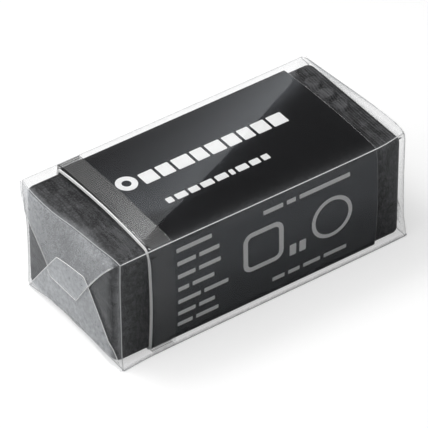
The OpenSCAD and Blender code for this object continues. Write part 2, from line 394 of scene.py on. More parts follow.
def makeBlock(settings):
    # a box with rounded edges, its three low pads raised from the bare end of its top
    bm = bmesh.new()
    bmesh.ops.create_cube(bm, size=2)
    for v in bm.verts:
        level = settings["top"] if v.co.z > 0 else settings["low"]
        v.co = Vector((v.co.x * settings["end"], v.co.y * settings["halfWidth"], level))
    uprights = [e for e in bm.edges if abs(e.verts[0].co.z - e.verts[1].co.z) > tiny]
    roundOff(bm, uprights, settings["uprightRadius"], settings["uprightSteps"])
    rims = [e for e in bm.edges if abs(e.verts[0].co.z - e.verts[1].co.z) < tiny]
    roundOff(bm, rims, settings["rimRadius"], settings["rimSteps"])
    middle = (settings["top"] + settings["low"]) / 2
    for sign, edge in zip((-1, 1), sleeveEnds):
        for inset in settings["swellCuts"]:
            cutAcross(bm, 0, edge - sign * inset, lambda face: True, dist=1e-5)
        for v in bm.verts:
            if (v.co.x - edge) * sign > settings["swellFrom"]:
                v.co.y *= settings["swellY"]
                v.co.z = middle + (v.co.z - middle) * settings["swellZ"]
    top = middle + (settings["top"] - middle) * settings["swellZ"]
    cutTop(bm, 0, *settings["cutX"], settings["cutStep"], top)
    cutTop(bm, 1, *settings["cutY"], settings["cutStep"], top)
    raised = bm.verts.layers.float.new("raised")
    for v in bm.verts:
        if abs(v.co.z - top) > tiny:
            continue
        apart = min(math.dist(v.co.xy, pad) for pad in settings["pads"])
        v[raised] = smoothStep((settings["padRadius"] - apart) / settings["padEdge"])
        v.co.z += settings["padHeight"] * v[raised]
    block = finishMesh("vinylBlock", bm, [vinylMaterial(vinylSettings)], sharpAngle=60)
    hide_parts("eraser_block")
    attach(block, "root")


makeBlock(blockSettings)
print("vinyl block made")


# card sleeve
sleeveSettings = {
    "ink": (0.0098, 0.0097, 0.0101), "inkWear": 1.5, "board": (0.97, 0.97, 0.96),
    "roughness": 0.13, "cutRoughness": 0.5, "gloss": 0.5, "glossTint": (0.76, 0.86, 1.0),
    # how much of each end shows the white board
    "leftBorder": 0.15, "rightBorder": 0.012,
    # the card opens out towards its left end: it arches and its front fold is rounder there
    "openFrom": -8.5, "arch": 0.2, "foldRadius": 0.65, "openRadius": 1.35, "cutStep": 0.45,
    # how far down from the top the arch reaches, and the fine cuts that carry the rounder fold
    "archDepth": 0.6, "foldCuts": 9, "foldCutStart": 0.3, "foldCutStep": 0.15, "foldZone": (-6, 11),
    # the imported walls' bow: radii of the top and the front, and the height of the front's middle
    "topRadius": 92.1, "frontRadius": 55.9, "frontMiddle": 6.51,
}


def sleeveMaterial(settings):
    # black coated face, with white board showing at the cut ends
    shade = Shade("coatedCard")
    apart = shade.node("SeparateXYZ", {"Vector": shade.place})
    left, right = sleeveEnds
    leftCut = shade.math("LESS_THAN", apart.outputs[0], (left + settings["leftBorder"]) * mm)
    rightCut = shade.math("GREATER_THAN", apart.outputs[0], (right - settings["rightBorder"]) * mm)
    cut = shade.math("MAXIMUM", leftCut, rightCut)
    mottle = shade.noiseMap(900, detail=4)
    fibres = shade.noiseMap(9000, detail=2)
    worn = tuple(settings["inkWear"] * c for c in settings["ink"])
    ink = shade.mixColour(mottle, settings["ink"], worn)
    colour = shade.mixColour(cut, ink, settings["board"])
    bump = shade.node("Bump", {"Height": fibres, "Distance": 0.000004, "Strength": 0.08})
    rougher = shade.times(cut, settings["cutRoughness"])
    skin = shade.node("BsdfPrincipled", {
        "Base Color": colour,
        "Roughness": shade.plus(rougher, settings["roughness"]),
        "Specular IOR Level": settings["gloss"],
        "Specular Tint": settings["glossTint"] + (1,),
        "Normal": bump.outputs[0],
    })
    return shade.surface(skin.outputs[0])


sleeveLow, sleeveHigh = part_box("card_sleeve")


def wallSurface(wall, across):
    # Z of the sleeve's outer top at this Y, or Y of its outer front at this Z, from its box and its bow
    if wall == "top":
        return sleeveHigh.z / mm - across * across / (2 * sleeveSettings["topRadius"])
    away = across - sleeveSettings["frontMiddle"]
    return sleeveLow.y / mm + away ** 2 / (2 * sleeveSettings["frontRadius"])


def reach(along, radius, fold):
    # distance from the centre of a square corner's zone to its outline, whose own fold is smaller
    step = radius - fold
    across = math.sqrt(max(1 - along * along, 0))
    if max(along, across) * step <= min(along, across) * radius:
        total = along + across
        return step * total + math.sqrt(max(fold * fold - step * step * (2 - total * total), 0))
    return radius / max(along, across)


def openSleeve(place, settings):
    # moves one point of the sleeve for its arch and its rounder fold
    front = sleeveLow.y / mm
    top = wallSurface("top", front)
    share = smoothStep((settings["openFrom"] - place.x) / (settings["openFrom"] - sleeveEnds[0]))
    fold = settings["foldRadius"]
    radius = fold + (settings["openRadius"] - fold) * share
    y, z = place.y - front - radius, place.z - top + radius
    if y < 0 < z and share > 0:
        apart = math.hypot(y, z)
        scale = radius / reach(-y / apart, radius, fold)
        place.y = front + radius + y * scale
        place.z = top - radius + z * scale
    if place.z > top - settings["archDepth"]:
        place.z += settings["arch"] * share * max(1 - (place.y / front) ** 2, 0)


def makeSleeve(settings):
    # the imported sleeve's own shape, its triangles joined so that its bowed walls shade smoothly
    bm = bmesh.new()
    bm.from_mesh(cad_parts["card_sleeve"].data)
    bmesh.ops.scale(bm, vec=(1 / mm,) * 3, verts=bm.verts)
    bmesh.ops.remove_doubles(bm, verts=bm.verts, dist=0.002)
    front = sleeveLow.y / mm
    edgeTop = wallSurface("top", front)
    x = sleeveEnds[0] + settings["cutStep"]
    while x < settings["openFrom"]:
        cutAcross(bm, 0, x, lambda face: True)
        x += settings["cutStep"]
    nearY, highZ = settings["foldZone"]
    for step in range(settings["foldCuts"]):
        deep = settings["foldCutStart"] + step * settings["foldCutStep"]
        cutAcross(bm, 2, edgeTop - deep, lambda face: face.calc_center_median().y < nearY)
        cutAcross(bm, 1, front + deep, lambda face: face.calc_center_median().z > highZ)
    for v in bm.verts:
        openSleeve(v.co, settings)
    sleeve = finishMesh("cardSleeve", bm, [sleeveMaterial(settings)])
    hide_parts("card_sleeve")
    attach(sleeve, "root")


makeSleeve(sleeveSettings)
print("sleeve made")


# printed marks
printSettings = {
    "inkThickness": 0.012,
    "bold": 0.95,
    "light": 0.9,
    "grey": 0.92,
    "wear": 0.93,
    "roughness": 0.4,
    "cornerSteps": 3,
    "cornerShare": 0.48,  # the most of a block's side that a corner takes
    "boldBlocks": {"x": -7.9, "y": 1.25, "height": 1.75, "gap": 0.34, "corner": 0.12,
                   "widths": (1.7, 1.55, 1.95, 1.45, 1.75, 1.5, 1.35, 1.6, 1.75)},
    "lightBlocks": {"x": -7.8, "y": -2.9, "height": 0.8, "gap": 0.34, "corner": 0.1,
                    "widths": (0.75, 1.3, 1.1, 1.4, 1.35, 0.5, 1.3, 1.1, 0.8)},
    "topRing": {"x": -9.5, "y": 1.6, "outer": 1.15, "inner": 0.5, "steps": 40},
    "rows": {"x": -10.3, "height": 0.5, "gap": 0.42, "corner": 0.08,
             "lines": ((11.55, (4.2,)), (9.95, (2.2, 2.4)), (8.35, (2.1, 2.6)), (6.75, (1.3, 2.6)),
                       (5.15, (2.7, 2.9)), (3.6, (2.1, 1.9)), (2.15, (1.8, 2.7)))},
    "upperLine": {"x": 0.1, "height": 0.5, "gap": 0.45, "corner": 0.08, "z": 11.35,
                  "widths": (2.4, 1.1, 6.2)},
    "lowerLine": {"x": 1.2, "height": 0.5, "gap": 0.45, "corner": 0.08, "z": 2.3,
                  "widths": (1.5, 1.4, 2.1, 2.8)},
    "squareRing": {"x": 0.0, "z": 7.2, "half": 2.45, "width": 0.55, "corner": 1.1, "cornerSteps": 6},
    "pairBlocks": {"x": 3.2, "z": 5.15, "height": 1.4, "gap": 0.4, "corner": 0.12, "widths": (0.8, 0.8)},
    "roundRing": {"x": 8.4, "z": 7.05, "outer": 2.5, "inner": 2.05, "steps": 48},
}


def pressMark(bm, side, thickness):
    # lays marks drawn flat in X and Y on one wall of the sleeve
    bmesh.ops.solidify(bm, geom=bm.faces, thickness=0.5)
    lowest = min(v.co.z for v in bm.verts)
    highest = max(v.co.z for v in bm.verts)
    for v in bm.verts:
        lift = thickness if v.co.z > (lowest + highest) / 2 else -thickness / 2
        if side == "top":
            v.co.z = wallSurface("top", v.co.y) + lift
            openSleeve(v.co, sleeveSettings)
        else:
            v.co = Vector((v.co.x, wallSurface("front", v.co.y) - lift, v.co.y))
    bmesh.ops.recalc_face_normals(bm, faces=bm.faces)


def drawBlock(bm, x, y, width, height, corner):
    made = bmesh.ops.create_grid(bm, x_segments=1, y_segments=1, size=0.5)
    verts = made["verts"]
    bmesh.ops.scale(bm, vec=(width, height, 1), verts=verts)
    bmesh.ops.translate(bm, vec=(x + width / 2, y, 0), verts=verts)
    corner = min(corner, printSettings["cornerShare"] * min(width, height))
    roundOff(bm, verts, corner, printSettings["cornerSteps"], affect="VERTICES")


def drawBlocks(bm, settings, y, widths):
    x = settings["x"]
    for width in widths:
        drawBlock(bm, x, y, width, settings["height"], settings["corner"])
        x += width + settings["gap"]


def drawRing(bm, ring, y):
    made = bmesh.ops.create_circle(bm, cap_ends=True, segments=ring["steps"], radius=ring["outer"])
    bmesh.ops.translate(bm, vec=(ring["x"], y, 0), verts=made["verts"])
    face = made["verts"][0].link_faces[0]
    insetBorder(bm, [face], ring["outer"] - ring["inner"], even=True)
    bmesh.ops.delete(bm, geom=[face], context="FACES")


def drawSquareRing(bm, settings):
    made = bmesh.ops.create_grid(bm, x_segments=1, y_segments=1, size=settings["half"])
    bmesh.ops.translate(bm, vec=(settings["x"], settings["z"], 0), verts=made["verts"])
    face = made["verts"][0].link_faces[0]
    before = set(bm.faces) - {face}
    roundOff(bm, made["verts"], settings["corner"], settings["cornerSteps"], affect="VERTICES")
    face = (set(bm.faces) - before).pop()
    insetBorder(bm, [face], settings["width"], even=True)
    bmesh.ops.delete(bm, geom=[face], context="FACES")


def inkMaterial(name, level):
    shade = Shade(name)
    wear = shade.noiseMap(3000, detail=3)
    colour = shade.mixColour(wear, (level * printSettings["wear"],) * 3, (level,) * 3)
    skin = shade.node("BsdfPrincipled", {"Base Color": colour, "Roughness": printSettings["roughness"]})
    return shade.surface(skin.outputs[0])


def makePrint(name, side, level, draw):
    bm = bmesh.new()
    draw(bm)
    pressMark(bm, side, printSettings["inkThickness"])
    piece = finishMesh(name, bm, [inkMaterial(name + "Ink", level)], smooth=False)
    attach(piece, "root")


def drawTopBold(bm):
    blocks = printSettings["boldBlocks"]
    drawBlocks(bm, blocks, blocks["y"], blocks["widths"])
    ring = printSettings["topRing"]
    drawRing(bm, ring, ring["y"])


def drawTopLight(bm):
    blocks = printSettings["lightBlocks"]
    drawBlocks(bm, blocks, blocks["y"], blocks["widths"])


def drawFrontGrey(bm):
    rows = printSettings["rows"]
    for z, widths in rows["lines"]:
        drawBlocks(bm, rows, z, widths)
    for key in ("upperLine", "lowerLine", "pairBlocks"):
        line = printSettings[key]
        drawBlocks(bm, line, line["z"], line["widths"])
    drawSquareRing(bm, printSettings["squareRing"])
    ring = printSettings["roundRing"]
    drawRing(bm, ring, ring["z"])


makePrint("boldPrint", "top", printSettings["bold"], drawTopBold)
makePrint("lightPrint", "top", printSettings["light"], drawTopLight)
makePrint("frontPrint", "front", printSettings["grey"], drawFrontGrey)
print("print made")


# clear film
filmSettings = {
    "wall": 0.05,
    "halfWidth": 8.4,
    "halfHeight": 6.55,
    "cuts": 31,
    "crowding": 0.35,  # how much closer the grid's lines stand at the creases
    "crease": 0.11,
    "creaseSteps": 3,
    # painted shade towards the rims, painted reflection over the front, painted shadow along its lower edge,
    # and painted reflection over the left end, most at its back, all laid on as haze
    "rim": 0.03,
    "rimPower": 14,
    "frontPaintedReflection": 0.03,
    "lowPaintedShadow": 0.35,
    "lowFrom": 0.93,
    "lowFade": 0.04,
    "endPaintedReflection": 0.06,
    "endPaintedReflectionShares": (0.6, 0.4),
    # how white each crease is, by its axis and the two sides that it lies on: partly the film's own
    # whitening at its folds, partly painted highlight and painted shade
    "whiteness": {
        ("x", -1, -1): 1.2, ("x", -1, 1): 2.4, ("x", 1, 1): 0.9,
        ("y", -1, -1): 1.2, ("y", -1, 1): 1.1, ("y", 1, -1): 0.8, ("y", 1, 1): 0.9,
        ("z", -1, -1): 1.4, ("z", -1, 1): 1.1, ("z", 1, -1): 1.0,
    },
    "plainWhiteness": 0.6,
    "sleeveAt": (-0.771, 0.806),  # where the sleeve's ends lie along the film, from -1 to 1
    "sideBow": 0.19,
    "topBow": 0.3,
    "easing": 4.0,
    # how far the ends stand off the block and bulge, over which share of their height, and to which X
    "stand": 0.06,
    "bulge": 0.05,
    "hugFade": 0.12,
    "endLimit": 18.0,
    # corners: left or right, front or back, low or high
    "corners": {
        (-1, -1, -1): (-17.23, -8.88, 0.0), (1, -1, -1): (17.85, -8.4, 0.0),
        (-1, 1, -1): (-17.59, 7.45, 0.0), (1, 1, -1): (17.6, 8.1, 0.0),
        (-1, -1, 1): (-17.08, -8.37, 13.2), (1, -1, 1): (17.68, -7.7, 13.04),
        (-1, 1, 1): (-17.5, 8.25, 13.12), (1, 1, 1): (16.66, 8.36, 13.1),
    },
    # Y and Z of the long creases at the sleeve's left and right edges
    "atSleeve": {
        (-1, 1): ((-8.31, 13.18), (-8.31, 13.18)),
        (1, 1): ((8.2, 13.18), (8.24, 13.18)),
        (-1, -1): ((-8.63, 0.0), (-8.48, 0.0)),
        (1, -1): ((8.15, 0.0), (8.3, 0.0)),
    },
    # points that each end's creases pass through between their corners, as share and place
    "bends": {
        ("y", -1, -1): ((-0.55, (-17.33, -4.9, 0.3)), (-0.15, (-17.36, -1.3, 0.7)),
                        (0.27, (-17.38, 2.2, 0.76)), (0.85, (-17.55, 6.6, 0.1))),
        ("y", -1, 1): ((-0.85, (-17.04, -7.15, 13.17)), (-0.54, (-17.2, -4.55, 13.07)),
                       (-0.1, (-17.45, -0.8, 13.07)), (0.28, (-17.8, 2.4, 13.06)),
                       (0.71, (-17.79, 5.9, 13.08))),
        ("y", 1, 1): ((-0.93, (17.88, -7.15, 13.1)), (-0.6, (18.0, -5.5, 13.14)),
                      (-0.2, (17.85, -1.85, 13.15)), (0.3, (17.47, 2.67, 13.15)),
                      (0.66, (17.2, 5.72, 13.15)), (0.93, (16.98, 8.0, 13.14))),
        ("y", 1, -1): ((0.0, (17.72, 0.0, 0.3)),),
        ("z", -1, -1): ((-0.95, (-17.3, -8.8, 0.25)), (-0.78, (-17.3, -8.67, 1.46)),
                        (-0.1, (-17.3, -8.64, 5.98)), (0.6, (-17.3, -8.6, 10.44))),
        ("z", -1, 1): ((-0.96, (-17.6, 7.62, 0.3)), (-0.6, (-17.6, 7.52, 2.62)), (0.13, (-17.6, 7.52, 7.44)),
                       (0.43, (-17.6, 7.68, 9.4)), (0.6, (-17.6, 7.76, 10.5)), (0.7, (-17.6, 7.98, 11.12)),
                       (0.81, (-17.6, 8.15, 11.89))),
        ("z", 1, -1): ((-0.92, (17.8, -8.48, 0.51)), (-0.6, (17.8, -8.08, 2.6)), (0.17, (17.8, -7.9, 7.69)),
                       (0.66, (17.8, -7.92, 10.94)), (0.93, (17.8, -7.85, 12.69))),
        ("z", 1, 1): ((0.0, (17.62, 8.1, 6.0)), (0.75, (17.6, 8.15, 11.5))),
    },
}
filmFinish = {
    # how much it mirrors face on and at a slant, and how fast that grows
    "plainMirror": 0.019,
    "slantMirror": 0.8,
    "slantPower": 5.0,
    # frost on the creases: partly the film's whitening, partly painted highlight and painted shade
    "creaseFrostAndPaintedLight": 0.4,
    "tint": (0.91, 0.935, 0.965),
    "softLine": (0.6, 0.61, 0.62),
    "sharpLine": (1, 1, 1),
    "frostRoughness": 0.45,
    "clearRoughness": 0.03,
}
onFace = 0.999  # past this a point of the cube from -1 to 1 lies on its face
farOut = 30  # a distance well outside the film, from where sheets are laid on it


def creasePoint(points, t):
    # smooth line through the points, which are shares and places in order
    index = 0
    while index < len(points) - 2 and t > points[index + 1][0]:
        index += 1
    (t1, p1), (t2, p2) = points[index], points[index + 1]
    t0, p0 = points[max(index - 1, 0)]
    t3, p3 = points[min(index + 2, len(points) - 1)]
    span = t2 - t1
    slopeIn = (p2 - p0) / (t2 - t0) if t2 > t0 else (p2 - p1) / span
    slopeOut = (p3 - p1) / (t3 - t1)
    if index == 0:
        slopeIn = (p2 - p1) / span
    if index == len(points) - 2:
        slopeOut = (p2 - p1) / span
    s = (t - t1) / span
    return (p1 * (2 * s ** 3 - 3 * s * s + 1) + slopeIn * span * (s ** 3 - 2 * s * s + s)
            + p2 * (3 * s * s - 2 * s ** 3) + slopeOut * span * (s ** 3 - s * s))


def creaseLines(settings):
    # each crease as the shares and places of its two corners and of the points between them
    lines = {}
    for axis, number in (("x", 0), ("y", 1), ("z", 2)):
        for a in (-1, 1):
            for b in (-1, 1):
                start = [a, b]
                start.insert(number, -1)
                end = [a, b]
                end.insert(number, 1)
                points = [(-1, Vector(settings["corners"][tuple(start)]))]
                if axis == "x":
                    places = zip(settings["sleeveAt"], sleeveEnds, settings["atSleeve"][a, b])
                    points += [(t, Vector((x, *p))) for t, x, p in places]
                else:
                    points += [(t, Vector(p)) for t, p in settings["bends"][axis, a, b]]
                points += [(1, Vector(settings["corners"][tuple(end)]))]
                lines[axis, a, b] = points
    return lines


filmLines = creaseLines(filmSettings)


def hugBlock(y):
    # how far out the block's end reaches at this Y, round its upright edges
    radius, half = blockSettings["uprightRadius"], blockSettings["halfWidth"] * blockSettings["swellY"]
    along = min(max(abs(y) - half + radius, 0), radius)
    return blockSettings["end"] - radius + math.sqrt(radius * radius - along * along)


def filmPlace(u, v, w):
    # place on the film for a point of a cube from -1 to 1
    settings = filmSettings
    share = {-1: lambda t: (1 - t) / 2, 1: lambda t: (1 + t) / 2}
    place = Vector()
    for a in (-1, 1):
        for b in (-1, 1):
            place += creasePoint(filmLines["x", a, b], u) * share[a](v) * share[b](w)
    left, right = settings["sleeveAt"]
    endShare = {
        -1: min(max((left - u) / (left + 1), 0), 1) ** settings["easing"],
        1: min(max((u - right) / (1 - right), 0), 1) ** settings["easing"],
    }
    for end in (-1, 1):
        if endShare[end] == 0:
            continue
        change = Vector()
        for b in (-1, 1):
            change += creasePoint(filmLines["y", end, b], v) * share[b](w)
            change += creasePoint(filmLines["z", end, b], w) * share[b](v)
            for a in (-1, 1):
                change -= Vector(settings["corners"][end, a, b]) * 2 * share[a](v) * share[b](w)
        place += change * endShare[end]
    over = 1 - smoothStep(max(endShare.values()))
    place.z += settings["topBow"] * (1 - v * v) * share[1](w) * over
    place.y += v * settings["sideBow"] * (1 - w * w) * over
    if abs(u) > onFace:
        hugged = hugBlock(place.y) + settings["stand"] + settings["bulge"] * (1 - v * v) * (1 - w * w)
        deep = smoothStep((1 - abs(w)) / settings["hugFade"])
        place.x = math.copysign(1, u) * min(max(abs(place.x), hugged * deep), settings["endLimit"])
    return place


def crowd(t):
    # draws the grid's lines closer towards the creases
    return t + filmSettings["crowding"] * (t - t ** 3)


def filmMaterial(name, mirrorShare):
    # clear sheet: it shows what is behind it, mirrors a little, and is frosted where it is creased and where
    # it is hazed, that haze carrying painted shade, painted shadow and painted reflection
    finish = filmFinish
    shade = Shade(name)
    facing = shade.node("LayerWeight", {"Blend": 0.5}).outputs["Facing"]
    slant = shade.math("POWER", facing, finish["slantPower"])
    mirror = shade.times(slant, finish["slantMirror"] * mirrorShare)
    mirror = shade.plus(mirror, finish["plainMirror"] * mirrorShare)
    creased = shade.node("Attribute", attribute_name="creased").outputs["Fac"]
    hazeAndPaintedLight = shade.node("Attribute", attribute_name="hazeAndPaintedLight").outputs["Fac"]
    frostAndPaintedLight = shade.times(creased, finish["creaseFrostAndPaintedLight"])
    clouds = shade.ramp(shade.noiseMap(160, detail=3), 0.3, 0.7, 0.8, 1.2)
    speckle = shade.ramp(shade.noiseMap(1900, detail=6, roughness=0.75), 0.35, 0.65, 0.6, 1.4)
    cloudy = shade.times(clouds, speckle)
    # frost from the haze attribute: partly haze, partly painted light
    frostAndPaintedLight = shade.plus(frostAndPaintedLight, shade.times(hazeAndPaintedLight, cloudy))
    seen = shade.plus(mirror, frostAndPaintedLight, clamp=True)
    plain = shade.math("DIVIDE", mirror, seen, clamp=True)
    ripple = shade.noiseMap(240, detail=2)
    bump = shade.node("Bump", {"Height": ripple, "Distance": 0.00002, "Strength": 0.25})
    # crease lines are grey where dull, painted shade, and white where sharpest, a painted highlight
    onCrease = shade.times(creased, 1.0, clamp=True)
    sharp = shade.ramp(creased, 1.2, 2.2)
    line = shade.mixColour(sharp, finish["softLine"], finish["sharpLine"])
    skin = shade.node("BsdfPrincipled", {
        "Base Color": shade.mixColour(onCrease, finish["tint"], line),
        "Metallic": plain,
        "Roughness": shade.ramp(plain, 0.0, 1.0, finish["frostRoughness"], finish["clearRoughness"]),
        "Alpha": seen,
        "Normal": bump.outputs[0],
    })
    return shade.surface(skin.outputs[0])


filmShade = filmMaterial("clearFilm", 1.0)
sealedShade = filmMaterial("sealedFilm", 0.15)  # laid flat on the film behind it, so its faces mirror little


def creaseKey(co):
    # names the crease that a point of the cube lies on, or gives None
    sides = [abs(abs(c) - 1) < tiny for c in co]
    if sum(sides) < 2:
        return None
    free = 2 if sum(sides) == 3 else sides.index(False)
    signs = [int(math.copysign(1, c)) for i, c in enumerate(co) if i != free]
    return ("xyz"[free], *signs)


def makeFilmBody(settings):
    # a cube's faces drawn out to the film's measured creases, the creases then rounded
    bm = bmesh.new()
    bmesh.ops.create_cube(bm, size=2)
    bmesh.ops.subdivide_edges(bm, edges=bm.edges, cuts=settings["cuts"], use_grid_fill=True)
    creased = bm.verts.layers.float.new("creased")
    hazeAndPaintedLightLayer = bm.verts.layers.float.new("hazeAndPaintedLight")
    folds = [e for e in bm.edges if all(creaseKey(v.co) for v in e.verts)]
    known = KDTree(len(bm.verts))
    whiteness = []
    for v in bm.verts:
        key = creaseKey(v.co)
        cube = [crowd(c) for c in v.co]
        # painted shade towards the rims, near the folds
        v[hazeAndPaintedLightLayer] = settings["rim"] * sorted(abs(c) for c in cube)[1] ** settings["rimPower"]
        if v.co.y < -onFace:
            low = smoothStep((-cube[2] - settings["lowFrom"]) / settings["lowFade"])
            # lighter towards the top of the front: painted reflection
            v[hazeAndPaintedLightLayer] += settings["frontPaintedReflection"] * max(v.co.z, 0) ** 2
            # darker along the front's lower edge: painted shadow
            v[hazeAndPaintedLightLayer] += settings["lowPaintedShadow"] * low
        if v.co.x < -onFace:
            # over the left end, lighter towards its back: painted reflection
            even, slope = settings["endPaintedReflectionShares"]
            v[hazeAndPaintedLightLayer] += settings["endPaintedReflection"] * (even + slope * cube[1])
        v.co = filmPlace(*cube)
        if key:
            known.insert(v.co, len(whiteness))
            whiteness.append(settings["whiteness"].get(key, settings["plainWhiteness"]))
    known.balance()
    rounded = set(roundOff(bm, folds, settings["crease"], settings["creaseSteps"])["faces"])
    for v in {v for face in rounded for v in face.verts}:
        if all(face in rounded for face in v.link_faces):
            v[creased] = whiteness[known.find(v.co)[1]]
    return finishMesh("filmBody", bm, [filmShade], sharpAngle=60)


def addWall(piece, thickness, offset=-1):
    wall = piece.modifiers.new("wall", "SOLIDIFY")
    wall.thickness = thickness * mm
    wall.offset = offset


filmBody = makeFilmBody(filmSettings)
filmTree = BVHTree.FromObject(filmBody, bpy.context.evaluated_depsgraph_get())
addWall(filmBody, filmSettings["wall"])
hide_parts("film_wrap")
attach(filmBody, "root")
print("film body made")


# folded end flaps
flapSettings = {
    "cells": (30, 26),
    "fade": 0.04,
    "corner": 0.75,
    "cornerSteps": 6,
    # each side is at tip + slope * t + flare * t ** 3, with t from 0 at the free edge to 1 at the crease
    # the cut edge turns plain within plainZone of creaseZ, and the haze, milky film and painted reflection,
    # rises to the back and above riseFrom
    "top": {
        "back": (3.1, 5.4, 5.9), "near": (-1.55, -5.5, -1.2),
        "tipZ": 4.28, "tilt": 0.0, "crease": 1, "creaseZ": 13.1, "plainZone": 0.9,
        "lift": 0.05, "hazeAndPaintedLight": 0.175, "border": 0.12, "farRise": 0.06, "rise": 0.08, "riseFrom": 9.8,
    },
    "bottom": {
        "back": (1.75, 5.7, 0.0), "near": (-3.0, -5.85, 0.0),
        "tipZ": 8.03, "tilt": -0.13, "crease": -1, "creaseZ": 0.0, "plainZone": 0.8,
        "lift": 0.14, "hazeAndPaintedLight": 0.28, "border": 0.05, "farRise": 0.09, "rise": -0.03, "riseFrom": 4.0,
    },
    # how far the flaps stay inside the end's upright creases and short of the one that they fold at
    "margin": 0.1,
    "short": 0.06,
    # the flaps' haze is milky film and painted reflection
    "evenHazeAndReflection": 0.93,  # the haze's share at the middle, where it hasn't risen yet
    # past the block's outline the flaps are clear: its half width, and its low and high edges at each end
    "clearAt": {-1: (7.2, 1.2, 20.0), 1: (6.6, 1.2, 11.9)},
    "clearFade": 0.5,
    "clearShare": {-1: 0.06, 1: 0.03},
    # the pressed ridge is drawn as a white line: a painted highlight
    "pressed": {"lift": 0.2, "border": 0.09, "whiteness": 1.9, "inside": 0.01},
    # the flat part of each end, which the flaps' rims follow: its Y, its lowest Z and its gap below the top
    "flatY": {-1: (-8.3, 7.4), 1: (-7.4, 7.4)},
    "flatLow": 0.9,
    "flatHigh": {-1: 0.32, 1: 0.12},
    # the flaps' white cut edge: a painted highlight
    "borderWhiteness": 2.2,
}


def flapEdges(flap, t):
    # how far the flap reaches on its back side and its near side
    return [tip + slope * t + flare * t ** 3 for tip, slope, flare in (flap["back"], flap["near"])]


def flapPlace(flap, side, s, t):
    # place on the flap, with s from 0 at its back side to 1 at its near side, and t as in flapSettings
    back, near = flapEdges(flap, t)
    w = (flap["tipZ"] + (flap["creaseZ"] - flap["tipZ"]) * t) / filmSettings["halfHeight"] - 1
    low = creasePoint(filmLines["z", side, -1], w).y + flapSettings["margin"]
    high = creasePoint(filmLines["z", side, 1], w).y - flapSettings["margin"]
    y = min(max(back + (near - back) * s, low), high)
    base = creasePoint(filmLines["y", side, flap["crease"]], y / filmSettings["halfWidth"]).z
    base -= flapSettings["short"] * flap["crease"]
    tip = flap["tipZ"] + flap["tilt"] * y
    return Vector((y, tip + (base - tip) * t, 0))


def roundCorner(bm, corner, sideA, sideB, radius, steps):
    # cuts one corner of a flat sheet by short planes round an arc
    toA, toB = (sideA - corner).normalized(), (sideB - corner).normalized()
    half = toA.angle(toB) / 2
    centre = corner + (toA + toB).normalized() * radius / math.sin(half)
    start, end = corner + toA * radius / math.tan(half), corner + toB * radius / math.tan(half)
    zone = 2.5 * radius  # only the faces near the corner are cut
    for step in range(steps):
        outward = ((start - centre).lerp(end - centre, (step + 0.5) / steps)).normalized()
        faces = [f for f in bm.faces if (f.calc_center_median() - corner).length < zone]
        cutFaces(bm, faces, centre + outward * radius, outward, clearOuter=True)


def flapOutline(side, flap):
    # a flat sheet of the flap's outline, drawn in X and Y
    bm = bmesh.new()
    columns, rows = flapSettings["cells"]
    bmesh.ops.create_grid(bm, x_segments=columns, y_segments=rows, size=0.5)
    for v in bm.verts:
        v.co = flapPlace(flap, side, v.co.x + 0.5, v.co.y + 0.5)
    for s in (0, 1):
        # the corner, a point a fifth of the way up its side, and the free edge's other corner
        corner = flapPlace(flap, side, s, 0)
        alongSide, alongEdge = flapPlace(flap, side, s, 0.2), flapPlace(flap, side, 1 - s, 0)
        roundCorner(bm, corner, alongSide, alongEdge, flapSettings["corner"], flapSettings["cornerSteps"])
    return bm


def finishSheet(bm, name, shade, outward):
    # makes a piece of a sheet that lies on the film, its wall growing outwards
    bmesh.ops.recalc_face_normals(bm, faces=bm.faces)
    if sum(f.normal.dot(outward) * f.calc_area() for f in bm.faces) < 0:
        bmesh.ops.reverse_faces(bm, faces=bm.faces)
    sheet = finishMesh(name, bm, [shade], sharpAngle=70)
    addWall(sheet, filmSettings["wall"], offset=1)
    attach(sheet, "root")


def layOnEnd(bm, name, side, lift):
    # moves a flat sheet onto the film's end and gives it its thickness
    outward = Vector((side, 0, 0))
    nearY, backY = flapSettings["flatY"][side]
    for v in bm.verts:
        y, z = v.co.x, v.co.y
        crease = creasePoint(filmLines["y", side, 1], y / filmSettings["halfWidth"])
        flatZ = min(max(z, flapSettings["flatLow"]), crease.z - flapSettings["flatHigh"][side])
        start = Vector((side * farOut, min(max(y, nearY), backY), flatZ)) * mm
        hit = filmTree.ray_cast(start, -outward)[0]
        v.co = Vector((hit.x / mm + side * lift, y, z))
    finishSheet(bm, name, filmShade if side < 0 else sealedShade, outward)


def makeFlap(name, side, flap):
    # a hazy sheet with a white cut edge, clear again where no block is behind it; its haze is partly painted
    # reflection and its white edge a painted highlight
    bm = flapOutline(side, flap)
    creased = bm.verts.layers.float.new("creased")
    hazeAndPaintedLightLayer = bm.verts.layers.float.new("hazeAndPaintedLight")
    border = set(insetBorder(bm, bm.faces, flap["border"]))
    insetBorder(bm, [f for f in bm.faces if f not in border], flapSettings["fade"])
    # the border's white cut edge: a painted highlight
    for v in {v for face in border for v in face.verts}:
        if abs(v.co.y - flap["creaseZ"]) > flap["plainZone"]:
            v[creased] = flapSettings["borderWhiteness"]
    clearY, clearLow, clearHigh = flapSettings["clearAt"][side]
    clearShare, fade = flapSettings["clearShare"][side], flapSettings["clearFade"]
    for v in bm.verts:
        y, z = v.co.x, v.co.y
        over = smoothStep((clearY + fade - abs(y)) / fade) * smoothStep((z - clearLow + fade) / fade)
        over *= smoothStep((clearHigh - z) / fade)
        shown = clearShare + (1 - clearShare) * over
        # haze and painted reflection, rising to the back and upwards
        rise = flap["farRise"] * max(y, 0) + flap["rise"] * (z - flap["riseFrom"])
        v[hazeAndPaintedLightLayer] = flap["hazeAndPaintedLight"] * shown * (flapSettings["evenHazeAndReflection"] + rise)
        if side > 0:
            v[creased] *= shown
    layOnEnd(bm, name, side, flap["lift"])


